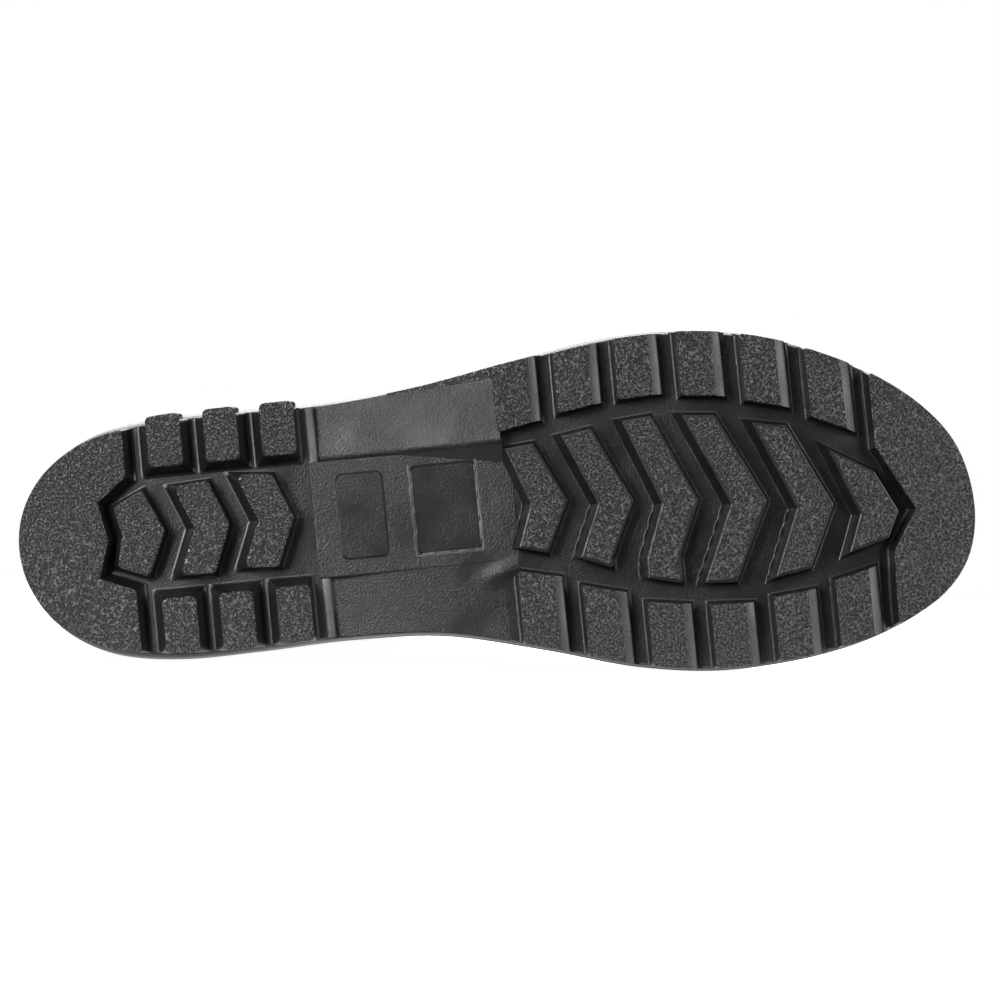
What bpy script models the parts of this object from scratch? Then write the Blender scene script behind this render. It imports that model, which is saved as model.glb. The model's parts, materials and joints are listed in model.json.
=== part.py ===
"""Right PVC work boot: a hollow moulded upper, a lugged outsole and an insole, lying on its medial side.

Sizes are millimetres in the boot's own frame until a mesh is made. x runs from heel to toe along the heel's
centre line, y to the medial side and z up from the tread plane.
"""

import math
from collections import namedtuple

import bmesh
import bpy
import numpy as np
from mathutils import Matrix, Vector

MM = 0.001

# Main sizes
SOLE_LENGTH = 300.0
WALL = 2.5
CLEARANCE = 0.3
FEATHER_INSET = 3.5
INSOLE_THICKNESS = 3.0
INSOLE_EASE = 0.4
SPRING_START = 225.0
SPRING_RISE = 8.0
SPRING_CUT = 7.5
NORMAL_STEP = 0.02
SIDE_STATIONS = 26
PLATE_STATIONS = 40
RINGS = 27
MEDIAL_FACING = 0.9

# Levels above the tread plane: the lug faces are at 0
PLATE_FLOOR = 9.5
HEEL_FLOOR = 6.0
FOREFOOT_FLOOR = 5.2
PANEL_LEVEL = 5.0
BLOCK_ROOT = 12.0

# Edge of the sole plate, a row for each station from heel to toe
Station = namedtuple("Station", "x lateral medial")
OUTLINE = [
    Station(0.0, 0.5, 0.5),
    Station(3.0, -12.7, 14.8),
    Station(10.0, -22.5, 25.3),
    Station(25.0, -31.5, 34.3),
    Station(45.0, -34.9, 37.9),
    Station(70.0, -35.6, 38.5),
    Station(100.0, -36.0, 38.1),
    Station(130.0, -38.8, 39.8),
    Station(160.0, -43.7, 46.9),
    Station(190.0, -47.8, 55.3),
    Station(212.0, -47.8, 58.6),
    Station(235.0, -44.3, 58.3),
    Station(255.0, -37.2, 55.6),
    Station(272.0, -28.4, 50.6),
    Station(287.0, -16.6, 42.6),
    Station(296.0, -4.2, 32.3),
    Station(300.0, 15.5, 15.5),
]

# Top of the sole plate under the foot, before toe spring
Top = namedtuple("Top", "x z")
SOLE_TOP = [Top(0, 30), Top(50, 30), Top(95, 28), Top(130, 23.5), Top(165, 18.5), Top(205, 16), Top(300, 16)]

# Steps of the sole's side wall: share of its height, distance outside the edge, and share of the heel flare
Step = namedtuple("Step", "share out flare")
SIDE_STEPS = [
    Step(0.00, -0.4, 0.4),
    Step(0.10, 0.2, 0.8),
    Step(0.45, 0.6, 1.0),
    Step(0.50, -0.4, 0.7),
    Step(0.60, -0.4, 0.7),
    Step(0.64, 0.9, 0.7),
    Step(0.92, 0.9, 0.5),
    Step(1.00, 0.2, 0.4),
]
HEEL_FLARE = 1.6
FLARE_X = 40.0
FLARE_SPREAD = 45.0

# Upper: a row for each ring from the feather line to the collar. It has the ring's front and back points,
# half width, shift to the medial side, share of the sole's plan against an ellipse, and share of its dip
Ring = namedtuple("Ring", "front_x front_z back_x back_z half shift plan dip")
UPPER_RINGS = [
    Ring(296.5, 24.3, 3.5, 30.3, 49.6, 0.0, 1.00, 1.00),
    Ring(297.0, 32.0, 2.2, 37.0, 50.2, 0.0, 1.00, 0.85),
    Ring(296.5, 40.0, 1.0, 45.0, 49.6, 0.0, 1.00, 0.60),
    Ring(292.5, 49.0, 0.3, 53.0, 47.8, 0.0, 1.00, 0.38),
    Ring(284.0, 57.5, 0.2, 60.5, 45.6, 0.0, 0.98, 0.22),
    Ring(270.0, 65.0, 0.7, 68.0, 43.8, 0.0, 0.94, 0.12),
    Ring(251.0, 71.5, 1.7, 75.5, 42.6, -0.5, 0.86, 0.05),
    Ring(230.0, 78.5, 3.2, 83.5, 41.6, -1.0, 0.72, 0.00),
    Ring(208.0, 87.5, 5.0, 92.0, 40.8, -1.5, 0.55, 0.00),
    Ring(187.0, 99.0, 6.6, 101.5, 40.2, -2.0, 0.38, 0.00),
    Ring(169.0, 112.5, 7.7, 112.5, 39.9, -2.5, 0.22, 0.00),
    Ring(154.5, 128.5, 8.0, 126.0, 40.0, -3.0, 0.10, 0.00),
    Ring(144.0, 148.0, 7.2, 143.0, 40.4, -3.6, 0.02, 0.00),
    Ring(138.0, 171.0, 5.2, 165.0, 41.2, -4.3, 0.00, 0.00),
    Ring(135.5, 200.0, 2.4, 194.0, 42.4, -5.2, 0.00, 0.00),
    Ring(135.5, 238.0, -1.4, 232.0, 43.9, -6.2, 0.00, 0.00),
    Ring(137.3, 284.0, -5.6, 278.0, 45.1, -7.2, 0.00, 0.00),
    Ring(139.6, 330.0, -9.4, 325.0, 45.8, -7.8, 0.00, 0.00),
    Ring(141.5, 366.0, -12.0, 362.0, 46.2, -8.0, 0.00, 0.00),
]

# Tread of the heel: the same stations serve both sides
HeelLug = namedtuple("HeelLug", "start end")
HEEL_LUGS = [HeelLug(43.1, 53.7), HeelLug(61.0, 71.5), HeelLug(78.8, 89.5)]
HEEL_LUG_INNER = {"lateral": -20.9, "medial": 20.3}
HEEL_LUG_MARGIN = {"lateral": -1.9, "medial": 0.3}
HEEL_DRAFT = 2.0

# Tread of the forefoot's sides: start of the face, its inner end at the heel side and at the toe side, and
# the margin between the lug and the plate's edge
SideLug = namedtuple("SideLug", "side start inner_back inner_front margin")
SIDE_LUGS = [
    SideLug("lateral", 152.4, -21.4, -23.4, 2.2),
    SideLug("lateral", 171.8, -25.5, -27.1, 1.4),
    SideLug("lateral", 190.9, -27.9, -28.4, 0.7),
    SideLug("lateral", 210.6, -27.4, -26.3, 0.3),
    SideLug("lateral", 230.5, -23.9, -21.3, 0.3),
    SideLug("lateral", 250.4, -17.0, -12.4, 0.3),
    SideLug("medial", 154.4, 22.3, 24.7, 0.4),
    SideLug("medial", 174.1, 28.6, 31.4, 0.4),
    SideLug("medial", 193.7, 35.8, 37.3, 0.3),
    SideLug("medial", 213.3, 38.4, 39.0, 0.3),
    SideLug("medial", 233.1, 38.0, 37.1, 0.3),
    SideLug("medial", 252.8, 34.6, 32.3, 0.3),
]
SIDE_LUG_FACE = 10.4
SIDE_LUG_CHAMFER = 3.3
CHAMFER_DEPTH = 2.2
STEEP_DRAFT = 0.6
PLATE_DRAFT = 1.2
EDGE_DRAFT = 0.1
RAMP_DRAFT = 0.25
PANEL_DRAFT = 0.6

# Margins between the plate's edge and the groove floors and end plates
FLOOR_MARGIN = 0.6
PLATE_MARGIN = 0.3

# Chevrons point to the toe. The ends are y values of the heel-side and toe-side corners of each arm. Past the
# bend the medial arm runs straight across
Chevron = namedtuple(
    "Chevron", "apex_x apex_y depth slope back_slope lat_back lat_front med_back med_front bend"
)
HEEL_CHEVRONS = [
    Chevron(46.1, -0.6, 13.4, 0.44, 0.22, -9.8, -14.2, 9.4, 13.2, 40.0),
    Chevron(66.5, -0.8, 11.2, 0.40, 0.40, -14.4, -15.0, 13.7, 14.0, 40.0),
    Chevron(86.6, -1.2, 11.2, 0.40, 0.40, -16.2, -15.2, 13.2, 13.9, 40.0),
]
CHEVRONS = [
    Chevron(172.2, 1.8, 11.8, 0.48, 0.36, -16.2, -17.0, 15.1, 17.6, 40.0),
    Chevron(192.7, 3.8, 11.3, 0.47, 0.43, -18.5, -19.9, 20.1, 24.2, 21.5),
    Chevron(212.9, 5.7, 11.6, 0.44, 0.38, -21.4, -22.1, 28.3, 30.9, 22.5),
    Chevron(234.3, 7.8, 11.5, 0.49, 0.44, -21.4, -20.4, 31.6, 32.2, 40.0),
    Chevron(255.0, 11.0, 11.7, 0.48, 0.42, -17.1, -15.0, 32.0, 30.2, 40.0),
    Chevron(275.3, 14.9, 12.3, 0.50, 0.39, -6.7, 1.8, 26.5, 23.1, 40.0),
]
CHEVRON_SLOPE = 3.1

# Zigzag inner edges of the end plates, from the lateral side to the medial side
Corner = namedtuple("Corner", "x y")
HEEL_PLATE_EDGE = [
    Corner(35.3, -18.6), Corner(25.9, -11.4), Corner(28.2, 0.5), Corner(24.5, 12.3), Corner(35.4, 16.8),
]
HEEL_PLATE_END = 35.4
TOE_PLATE_EDGE = [
    Corner(269.7, -5.5), Corner(280.7, 14.7), Corner(272.5, 27.4), Corner(271.8, 42.0),
]
TOE_PLATE_START = {"lateral": 269.9, "medial": 271.9}

# Waist: a flat panel between two ramps that rise from the heel breast to the first forefoot lugs
BREAST_X = 92.5
BREAST_RUN = 3.5
FOREFOOT_X = 150.0
PANEL = {"back": 92.3, "front": 156.0, "lateral": -17.8, "medial": 18.8}
Ramp = namedtuple("Ramp", "side back front inner margin")
RAMPS = [Ramp("lateral", 94.0, 153.2, -18.0, 2.0), Ramp("medial", 94.0, 155.2, 19.0, 0.6)]
RAMP_LEVEL = {"back": 9.3, "front": 2.0}
RAMP_TILT = 0.08

Finish = namedtuple("Finish", "colour roughness")
FINISHES = {
    "upper": Finish((0.022, 0.023, 0.025, 1), 0.38),
    "outsole": Finish((0.03, 0.031, 0.033, 1), 0.45),
    "insole": Finish((0.16, 0.16, 0.165, 1), 0.9),
}


def spline(at, knots, values):
    """Smooth curve through the values, with slopes taken from the neighbouring rows."""
    knots = np.asarray(knots, float)
    values = np.asarray(values, float)
    slopes = np.gradient(values, knots)
    i = int(np.clip(np.searchsorted(knots, at) - 1, 0, len(knots) - 2))
    gap = knots[i + 1] - knots[i]
    t = (at - knots[i]) / gap
    start = (1 + 2 * t) * (1 - t) ** 2 * values[i] + t * (1 - t) ** 2 * gap * slopes[i]
    end = t * t * (3 - 2 * t) * values[i + 1] + t * t * (t - 1) * gap * slopes[i + 1]
    return start + end


def turn_at(x):
    """Angle whose cosine gives x along the sole, so that both ends of the outline come out round."""
    return math.acos(max(-1.0, min(1.0, 1 - 2 * x / SOLE_LENGTH)))


def edge_y(x, side):
    turns = [turn_at(row.x) for row in OUTLINE]
    return spline(turn_at(x), turns, [getattr(row, side) for row in OUTLINE])


def spring(x):
    return SPRING_RISE * max(0.0, (x - SPRING_START) / (SOLE_LENGTH - SPRING_START)) ** 2


def sole_top(x):
    x = max(0.0, min(SOLE_LENGTH, x))
    return spline(x, [row.x for row in SOLE_TOP], [row.z for row in SOLE_TOP]) + spring(x)


def edge_point(turn, out):
    """Plan point moved out from the sole's edge. The turn is 0 at the heel, half a circle at the toe by way
    of the lateral side, and a full circle back at the heel by way of the medial side."""

    def on_edge(at):
        at %= 2 * math.pi
        side = "lateral" if at <= math.pi else "medial"
        x = SOLE_LENGTH / 2 * (1 - math.cos(at))
        return Vector((x, edge_y(x, side)))

    along = (on_edge(turn + NORMAL_STEP) - on_edge(turn - NORMAL_STEP)).normalized()
    return on_edge(turn) + out * Vector((along.y, -along.x))


def outline_loop(stations, out):
    return [edge_point(math.pi * i / stations, out) for i in range(2 * stations)]


def edge_run(start, end, out):
    """Plan points along the sole's edge between two turns."""
    steps = max(1, round((end - start) / math.pi * PLATE_STATIONS))
    return [edge_point(start + (end - start) * i / steps, out) for i in range(steps + 1)]


def grow(polygon, drafts):
    """Move each edge of a counter-clockwise polygon out by its own draft."""
    count = len(polygon)
    normals = []
    for i in range(count):
        along = (polygon[(i + 1) % count] - polygon[i]).normalized()
        normals.append(Vector((along.y, -along.x)))
    grown = []
    for i, corner in enumerate(polygon):
        before, after = normals[i - 1], normals[i]
        out_before, out_after = drafts[i - 1], drafts[i]
        cross = before.x * after.y - before.y * after.x
        if abs(cross) < 0.05:
            grown.append(corner + (before * out_before + after * out_after) / 2)
            continue
        shift_x = (out_before * after.y - out_after * before.y) / cross
        shift_y = (before.x * out_after - after.x * out_before) / cross
        grown.append(corner + Vector((shift_x, shift_y)))
    return grown


def new_object(name, mesh_builder, collection):
    mesh = bpy.data.meshes.new(name)
    mesh_builder.to_mesh(mesh)
    mesh_builder.free()
    obj = bpy.data.objects.new(name, mesh)
    collection.objects.link(obj)
    return obj


def loft(rings, cap):
    """Skin a list of equal closed rings of millimetre points, with strips across both ends when capped."""
    mesh = bmesh.new()
    rows = [[mesh.verts.new(Vector(point) * MM) for point in ring] for ring in rings]
    count = len(rows[0])
    for lower, upper in zip(rows, rows[1:]):
        for i in range(count):
            after = (i + 1) % count
            mesh.faces.new((lower[i], lower[after], upper[after], upper[i]))
    if cap:
        half = count // 2
        for row, flip in ((rows[0], True), (rows[-1], False)):
            for i in range(half):
                strip = [row[i], row[i + 1], row[count - i - 1], row[(count - i) % count]]
                strip = list(dict.fromkeys(strip))
                mesh.faces.new(strip[::-1] if flip else strip)
    return mesh


def add_block(name, face, drafts, level, floor, blocks, chamfers=None):
    """A tread block with its face at the given level and its sides drafted past the floor into the plate.
    Where there are chamfers, one for each edge, they come first."""
    levels = [level(point) if callable(level) else level for point in face]
    rings = [(face, levels)]
    if chamfers:
        face = grow(face, chamfers)
        levels = [z + CHAMFER_DEPTH for z in levels]
        rings.append((face, levels))
    deeper = (BLOCK_ROOT - levels[0]) / (floor - levels[0])
    root = grow(face, [draft * deeper for draft in drafts])
    rings.append((root, [BLOCK_ROOT] * len(root)))
    mesh = bmesh.new()
    rows = [[mesh.verts.new((point.x, point.y, z)) for point, z in zip(*ring)] for ring in rings]
    mesh.faces.new(rows[0][::-1])
    mesh.faces.new(rows[-1])
    for lower, upper in zip(rows, rows[1:]):
        for i in range(len(face)):
            after = (i + 1) % len(face)
            mesh.faces.new((lower[i], lower[after], upper[after], upper[i]))
    for x in np.arange(SPRING_START + 5, SOLE_LENGTH, SPRING_CUT):
        everything = mesh.verts[:] + mesh.edges[:] + mesh.faces[:]
        bmesh.ops.bisect_plane(mesh, geom=everything, plane_co=(x, 0, 0), plane_no=(1, 0, 0), dist=1e-4)
    for vertex in mesh.verts:
        vertex.co.z += spring(vertex.co.x)
        vertex.co *= MM
    return new_object(name, mesh, blocks)


def side_face(side, start, end, inner_start, inner_end, margin, front_draft, inner_draft, back_draft):
    """Face polygon and drafts of a block on one side of the sole, counter-clockwise seen from above."""
    turns = [turn_at(start), turn_at(end)]
    inner = [Vector((end, inner_end)), Vector((start, inner_start))]
    drafts = [front_draft, inner_draft, back_draft]
    if side == "medial":
        turns = [2 * math.pi - turn for turn in reversed(turns)]
        inner.reverse()
        drafts.reverse()
    outer = edge_run(turns[0], turns[1], -margin)
    return outer + inner, [EDGE_DRAFT] * (len(outer) - 1) + drafts


def end_face(start, end, inner, margin, inner_draft):
    """Face polygon and drafts of a plate around the heel or the toe, with the corners of its inner edge."""
    outer = edge_run(start, end, -margin)
    return outer + inner, [EDGE_DRAFT] * (len(outer) - 1) + [inner_draft] * (len(inner) + 1)


def chevron_face(row, heel_draft):
    """Arrow outline and drafts, counter-clockwise from above. It starts at the notch on the heel side."""

    def front(y):
        return Vector((row.apex_x - row.slope * abs(min(y, row.bend) - row.apex_y), y))

    def back(y):
        return Vector((row.apex_x - row.depth - row.back_slope * abs(min(y, row.bend) - row.apex_y), y))

    front_stops = [row.lat_front, row.apex_y] + [row.bend] * (row.bend < row.med_front) + [row.med_front]
    back_stops = [row.med_back] + [row.bend] * (row.bend < row.med_back)
    face = [back(row.apex_y), back(row.lat_back)]
    face += [front(y) for y in front_stops]
    face += [back(y) for y in back_stops]
    drafts = [heel_draft] + [STEEP_DRAFT] * (len(front_stops) + 1) + [heel_draft] * len(back_stops)
    return face, drafts


def add_heel_tread(blocks):
    full = 2 * math.pi
    breast = turn_at(BREAST_X)
    face, drafts = end_face(full - breast, full + breast, [], FLOOR_MARGIN, BREAST_RUN)
    add_block("heel_floor", face, drafts, HEEL_FLOOR, PLATE_FLOOR, blocks)

    inner = [Vector(corner) for corner in HEEL_PLATE_EDGE]
    plate_end = turn_at(HEEL_PLATE_END)
    face, drafts = end_face(full - plate_end, full + plate_end, inner, PLATE_MARGIN, PLATE_DRAFT)
    add_block("heel_plate", face, drafts, 0.0, HEEL_FLOOR, blocks)

    for number, row in enumerate(HEEL_LUGS, 1):
        for side, inner_y in HEEL_LUG_INNER.items():
            face, drafts = side_face(
                side, row.start, row.end, inner_y, inner_y, HEEL_LUG_MARGIN[side],
                HEEL_DRAFT, HEEL_DRAFT, HEEL_DRAFT,
            )
            add_block(f"heel_{side}_lug_{number}", face, drafts, 0.0, HEEL_FLOOR, blocks)

    for number, row in enumerate(HEEL_CHEVRONS, 1):
        face, drafts = chevron_face(row, HEEL_DRAFT)
        add_block(f"heel_chevron_{number}", face, drafts, 0.0, HEEL_FLOOR, blocks)


def add_waist(blocks):
    panel = [
        Vector((PANEL["back"], PANEL["lateral"])), Vector((PANEL["front"], PANEL["lateral"])),
        Vector((PANEL["front"], PANEL["medial"])), Vector((PANEL["back"], PANEL["medial"])),
    ]
    add_block("waist_panel", panel, [PANEL_DRAFT] * 4, PANEL_LEVEL, PLATE_FLOOR, blocks)

    for row in RAMPS:
        rise = (RAMP_LEVEL["front"] - RAMP_LEVEL["back"]) / (row.front - row.back)

        def ramp_level(point, row=row, rise=rise):
            along = rise * (point.x - row.back)
            return RAMP_LEVEL["back"] + along + RAMP_TILT * (abs(point.y) - abs(row.inner))

        face, drafts = side_face(
            row.side, row.back, row.front, row.inner, row.inner, row.margin,
            RAMP_DRAFT, RAMP_DRAFT, RAMP_DRAFT,
        )
        add_block(f"waist_{row.side}_ramp", face, drafts, ramp_level, BLOCK_ROOT, blocks)


def add_forefoot_tread(blocks):
    full = 2 * math.pi
    back = turn_at(FOREFOOT_X)
    face, drafts = end_face(back, full - back, [], FLOOR_MARGIN, EDGE_DRAFT)
    add_block("forefoot_floor", face, drafts, FOREFOOT_FLOOR, PLATE_FLOOR, blocks)

    for number, row in enumerate(SIDE_LUGS, 1):
        face, drafts = side_face(
            row.side, row.start, row.start + SIDE_LUG_FACE, row.inner_back, row.inner_front, row.margin,
            STEEP_DRAFT, STEEP_DRAFT, STEEP_DRAFT,
        )
        chamfers = [0.0] * len(face)
        chamfers[-3 if row.side == "lateral" else -1] = SIDE_LUG_CHAMFER
        add_block(f"forefoot_{row.side}_lug_{number}", face, drafts, 0.0, FOREFOOT_FLOOR, blocks, chamfers)

    for number, row in enumerate(CHEVRONS, 1):
        face, drafts = chevron_face(row, CHEVRON_SLOPE)
        add_block(f"forefoot_chevron_{number}", face, drafts, 0.0, FOREFOOT_FLOOR, blocks)

    inner = [Vector(corner) for corner in reversed(TOE_PLATE_EDGE)]
    starts = turn_at(TOE_PLATE_START["lateral"]), full - turn_at(TOE_PLATE_START["medial"])
    face, drafts = end_face(starts[0], starts[1], inner, PLATE_MARGIN, PLATE_DRAFT)
    add_block("toe_plate", face, drafts, 0.0, FOREFOOT_FLOOR, blocks)


def add_outsole(parts, blocks):
    """Sole plate with a stepped side wall, joined with every tread block into one moulded solid."""
    rings = []
    for step in SIDE_STEPS:
        ring = []
        for i in range(2 * PLATE_STATIONS):
            turn = math.pi * i / PLATE_STATIONS
            flare = HEEL_FLARE * math.exp(-((edge_point(turn, 0).x - FLARE_X) / FLARE_SPREAD) ** 2)
            point = edge_point(turn, step.out + step.flare * flare)
            floor = PLATE_FLOOR + spring(point.x)
            ring.append((point.x, point.y, floor + step.share * (sole_top(point.x) - floor)))
        rings.append(ring)
    outsole = new_object("outsole", loft(rings, cap=True), parts)

    add_heel_tread(blocks)
    add_waist(blocks)
    add_forefoot_tread(blocks)
    join = outsole.modifiers.new("join tread", "BOOLEAN")
    join.operation = "UNION"
    join.solver = "EXACT"
    join.operand_type = "COLLECTION"
    join.collection = blocks
    return outsole


def centre_y(x):
    x = max(0.0, min(SOLE_LENGTH, x))
    return (edge_y(x, "lateral") + edge_y(x, "medial")) / 2


def upper_ring(row):
    """One closed ring of the upper between its back and front points."""
    base = outline_loop(SIDE_STATIONS, -FEATHER_INSET)
    low, high = base[0].x, base[SIDE_STATIONS].x
    widest = max(abs(point.y - centre_y(point.x)) for point in base)
    ring = []
    for i, point in enumerate(base):
        share = min(1.0, max(0.0, (point.x - low) / (high - low)))
        x = row.back_x + (row.front_x - row.back_x) * share
        level = row.back_z + (row.front_z - row.back_z) * share
        dip = sole_top(point.x) - (sole_top(low) + (sole_top(high) - sole_top(low)) * share)
        side = -1 if i <= SIDE_STATIONS else 1
        round_y = row.shift + side * row.half * 2 * math.sqrt(share * (1 - share))
        plan_y = centre_y(x) + (point.y - centre_y(point.x)) * row.half / widest
        ring.append((x, row.plan * plan_y + (1 - row.plan) * round_y, level + row.dip * dip))
    return ring


def add_upper(parts):
    """Foot and shaft as one skin from the feather line to the collar, given a real wall."""
    rows = range(len(UPPER_RINGS))
    rings = []
    for i in range(RINGS):
        at = (len(UPPER_RINGS) - 1) * i / (RINGS - 1)
        columns = [spline(at, rows, [getattr(row, name) for row in UPPER_RINGS]) for name in Ring._fields]
        rings.append(upper_ring(Ring(*columns)))
    upper = new_object("upper", loft(rings, cap=False), parts)
    upper.data.shade_smooth()
    wall = upper.modifiers.new("wall", "SOLIDIFY")
    wall.thickness = WALL * MM
    wall.offset = -1
    wall.use_even_offset = True
    return upper


def add_insole(parts):
    plan = outline_loop(SIDE_STATIONS, -(FEATHER_INSET + WALL + INSOLE_EASE))
    rings = []
    for height in (CLEARANCE, CLEARANCE + INSOLE_THICKNESS):
        rings.append([(point.x, point.y, sole_top(point.x) + height) for point in plan])
    return new_object("insole", loft(rings, cap=True), parts)


def solid_points(obj):
    """Corner points of the finished solid, with its volume and centroid."""
    finished = obj.evaluated_get(bpy.context.evaluated_depsgraph_get())
    mesh = finished.to_mesh()
    points = [vertex.co.copy() for vertex in mesh.vertices]
    volume = 0.0
    moment = Vector()
    mesh.calc_loop_triangles()
    for triangle in mesh.loop_triangles:
        a, b, c = (points[i] for i in triangle.vertices)
        piece = a.dot(b.cross(c)) / 6
        volume += piece
        moment += piece * (a + b + c) / 4
    finished.to_mesh_clear()
    return points, volume, moment


def resting_matrix(solids):
    """Lay the boot on the hull facet below its centre of mass on the medial side, centred on the floor."""
    measured = [solid_points(obj) for obj in solids]
    points = [point for row in measured for point in row[0]]
    centre = sum((row[2] for row in measured), Vector()) / sum(row[1] for row in measured)
    hull = bmesh.new()
    for point in points:
        hull.verts.new(point)
    bmesh.ops.convex_hull(hull, input=hull.verts[:])
    down = None
    for face in hull.faces:
        if face.normal.y < MEDIAL_FACING:
            continue
        corners = [vertex.co for vertex in face.verts]
        turns = [(corners[i] - corners[i - 1]).cross(centre - corners[i - 1]) for i in range(len(corners))]
        if all(turn.dot(face.normal) >= 0 for turn in turns):
            down = face.normal.copy()
    hull.free()
    forward = Vector((1, 0, 0))
    forward = (forward - forward.dot(down) * down).normalized()
    turn = Matrix((forward, down.cross(forward) * -1, -down)).to_4x4()
    laid = [turn @ point for point in points]
    low = [min(point[k] for point in laid) for k in range(3)]
    high = [max(point[k] for point in laid) for k in range(3)]
    shift = Vector((-(low[0] + high[0]) / 2, -(low[1] + high[1]) / 2, -low[2]))
    return Matrix.Translation(shift) @ turn


def add_material(obj):
    material = bpy.data.materials.new(obj.name)
    material.use_nodes = True
    shader = material.node_tree.nodes["Principled BSDF"]
    finish = FINISHES[obj.name]
    shader.inputs["Base Color"].default_value = finish.colour
    shader.inputs["Roughness"].default_value = finish.roughness
    shader.inputs["Metallic"].default_value = 0.0
    obj.data.materials.append(material)


def main():
    for obj in list(bpy.data.objects):
        bpy.data.objects.remove(obj, do_unlink=True)
    parts = bpy.data.collections.new("work_boot")
    blocks = bpy.data.collections.new("tread_blocks")
    bpy.context.scene.collection.children.link(parts)
    bpy.context.scene.collection.children.link(blocks)
    solids = [add_upper(parts), add_outsole(parts, blocks), add_insole(parts)]
    for block in blocks.objects:
        block.hide_render = True
        block.display_type = "WIRE"
    for solid in solids:
        add_material(solid)
    bpy.context.view_layer.update()
    rest = bpy.data.objects.new("rest", None)
    parts.objects.link(rest)
    rest.matrix_world = resting_matrix(solids)
    for obj in solids + list(blocks.objects):
        obj.parent = rest
    bpy.context.view_layer.update()


main()
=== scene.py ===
"""Looks of a right PVC work boot lying on its medial side, seen square on to its tread.

Shapes are made in the boot's own frame, in millimetres, as in the part's source: x runs from heel to toe
along the heel's centre line, y to the medial side and z up from the tread plane. BOOT carries them to the
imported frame, in metres.
"""

import json
import math
from collections import namedtuple

import bmesh
import bpy
import numpy as np
from mathutils import Matrix, Vector


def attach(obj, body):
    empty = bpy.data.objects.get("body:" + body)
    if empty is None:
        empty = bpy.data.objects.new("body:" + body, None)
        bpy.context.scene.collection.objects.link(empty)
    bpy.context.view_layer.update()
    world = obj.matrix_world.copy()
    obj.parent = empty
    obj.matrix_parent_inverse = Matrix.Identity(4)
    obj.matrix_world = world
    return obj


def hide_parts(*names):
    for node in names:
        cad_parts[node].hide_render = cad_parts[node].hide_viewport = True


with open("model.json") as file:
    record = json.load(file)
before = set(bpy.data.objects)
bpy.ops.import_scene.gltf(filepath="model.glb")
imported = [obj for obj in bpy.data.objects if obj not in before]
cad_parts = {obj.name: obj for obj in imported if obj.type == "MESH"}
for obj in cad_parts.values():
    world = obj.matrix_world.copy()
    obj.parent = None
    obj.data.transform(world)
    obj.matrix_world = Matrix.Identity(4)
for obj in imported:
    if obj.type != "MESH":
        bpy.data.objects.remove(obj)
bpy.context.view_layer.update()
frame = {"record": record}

MM = 0.001

# Main sizes, as in the part's source
SOLE_LENGTH = 300.0
WALL = 2.5
CLEARANCE = 0.3
FEATHER_INSET = 3.5
INSOLE_THICKNESS = 3.0
INSOLE_EASE = 0.4
SPRING_START = 225.0
SPRING_RISE = 8.0
NORMAL_STEP = 0.02
PLATE_FLOOR = 9.5
HEEL_FLOOR = 6.0
FOREFOOT_FLOOR = 5.2
PANEL_LEVEL = 5.0
BLOCK_ROOT = 12.0
HEEL_MOUNT = Vector((11.23, -7.56, 0.0))
BALL_MOUNT = Vector((206.36, 2.03, 0.0))

# How finely the curved forms are cut
PLATE_STATIONS = 110
EDGE_STATIONS = 90
SIDE_STATIONS = 72
MIDDLE_STATIONS = 301
UPPER_ROWS = 120
SPRING_CUT = 3.0
CUT_REACH = 0.0001
SIDE_ROUNDS = 2
CORNER_CUT = 0.25
ARC_STEPS = 4
FILLET_STEPS = 3
LEAST_BEVEL_STEPS = 3
BEVEL_STEPS_PER_MM = 4
CHAMFER_SHARES = (0.35, 0.5, 0.65, 0.8, 1.0)
GROOVE_SHARES = (-1.0, -0.6, -0.2, 0.2, 0.6, 1.0)
NEARLY_STRAIGHT = 0.05
ARC_SHARE = 0.45
SHARP_EDGE = math.radians(40)

Station = namedtuple("Station", "x lateral medial")
OUTLINE = [
    Station(0.0, 0.5, 0.5),
    Station(3.0, -12.7, 14.8),
    Station(10.0, -22.5, 25.3),
    Station(25.0, -31.5, 34.3),
    Station(45.0, -34.9, 37.9),
    Station(70.0, -35.6, 38.5),
    Station(100.0, -36.0, 38.1),
    Station(130.0, -38.8, 39.8),
    Station(160.0, -43.7, 46.9),
    Station(190.0, -47.8, 55.3),
    Station(212.0, -47.8, 58.6),
    Station(235.0, -44.3, 58.3),
    Station(255.0, -37.2, 55.6),
    Station(272.0, -28.4, 50.6),
    Station(287.0, -16.6, 42.6),
    Station(296.0, -4.2, 32.3),
    Station(300.0, 15.5, 15.5),
]
Top = namedtuple("Top", "x z")
SOLE_TOP = [
    Top(0, 30), Top(50, 30), Top(95, 28), Top(130, 23.5), Top(165, 18.5), Top(205, 16), Top(300, 16),
]

# Steps of the sole's side wall: share of its height, distance outside the edge, and share of the heel flare
Step = namedtuple("Step", "share out flare")
SIDE_STEPS = [
    Step(0.00, -0.4, 0.4),
    Step(0.10, 0.2, 0.8),
    Step(0.45, 0.6, 1.0),
    Step(0.50, -0.4, 0.7),
    Step(0.60, -0.4, 0.7),
    Step(0.64, 0.9, 0.7),
    Step(0.92, 0.9, 0.5),
    Step(1.00, 0.2, 0.4),
]
HEEL_FLARE = 1.6
FLARE_X = 40.0
FLARE_SPREAD = 45.0

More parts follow.
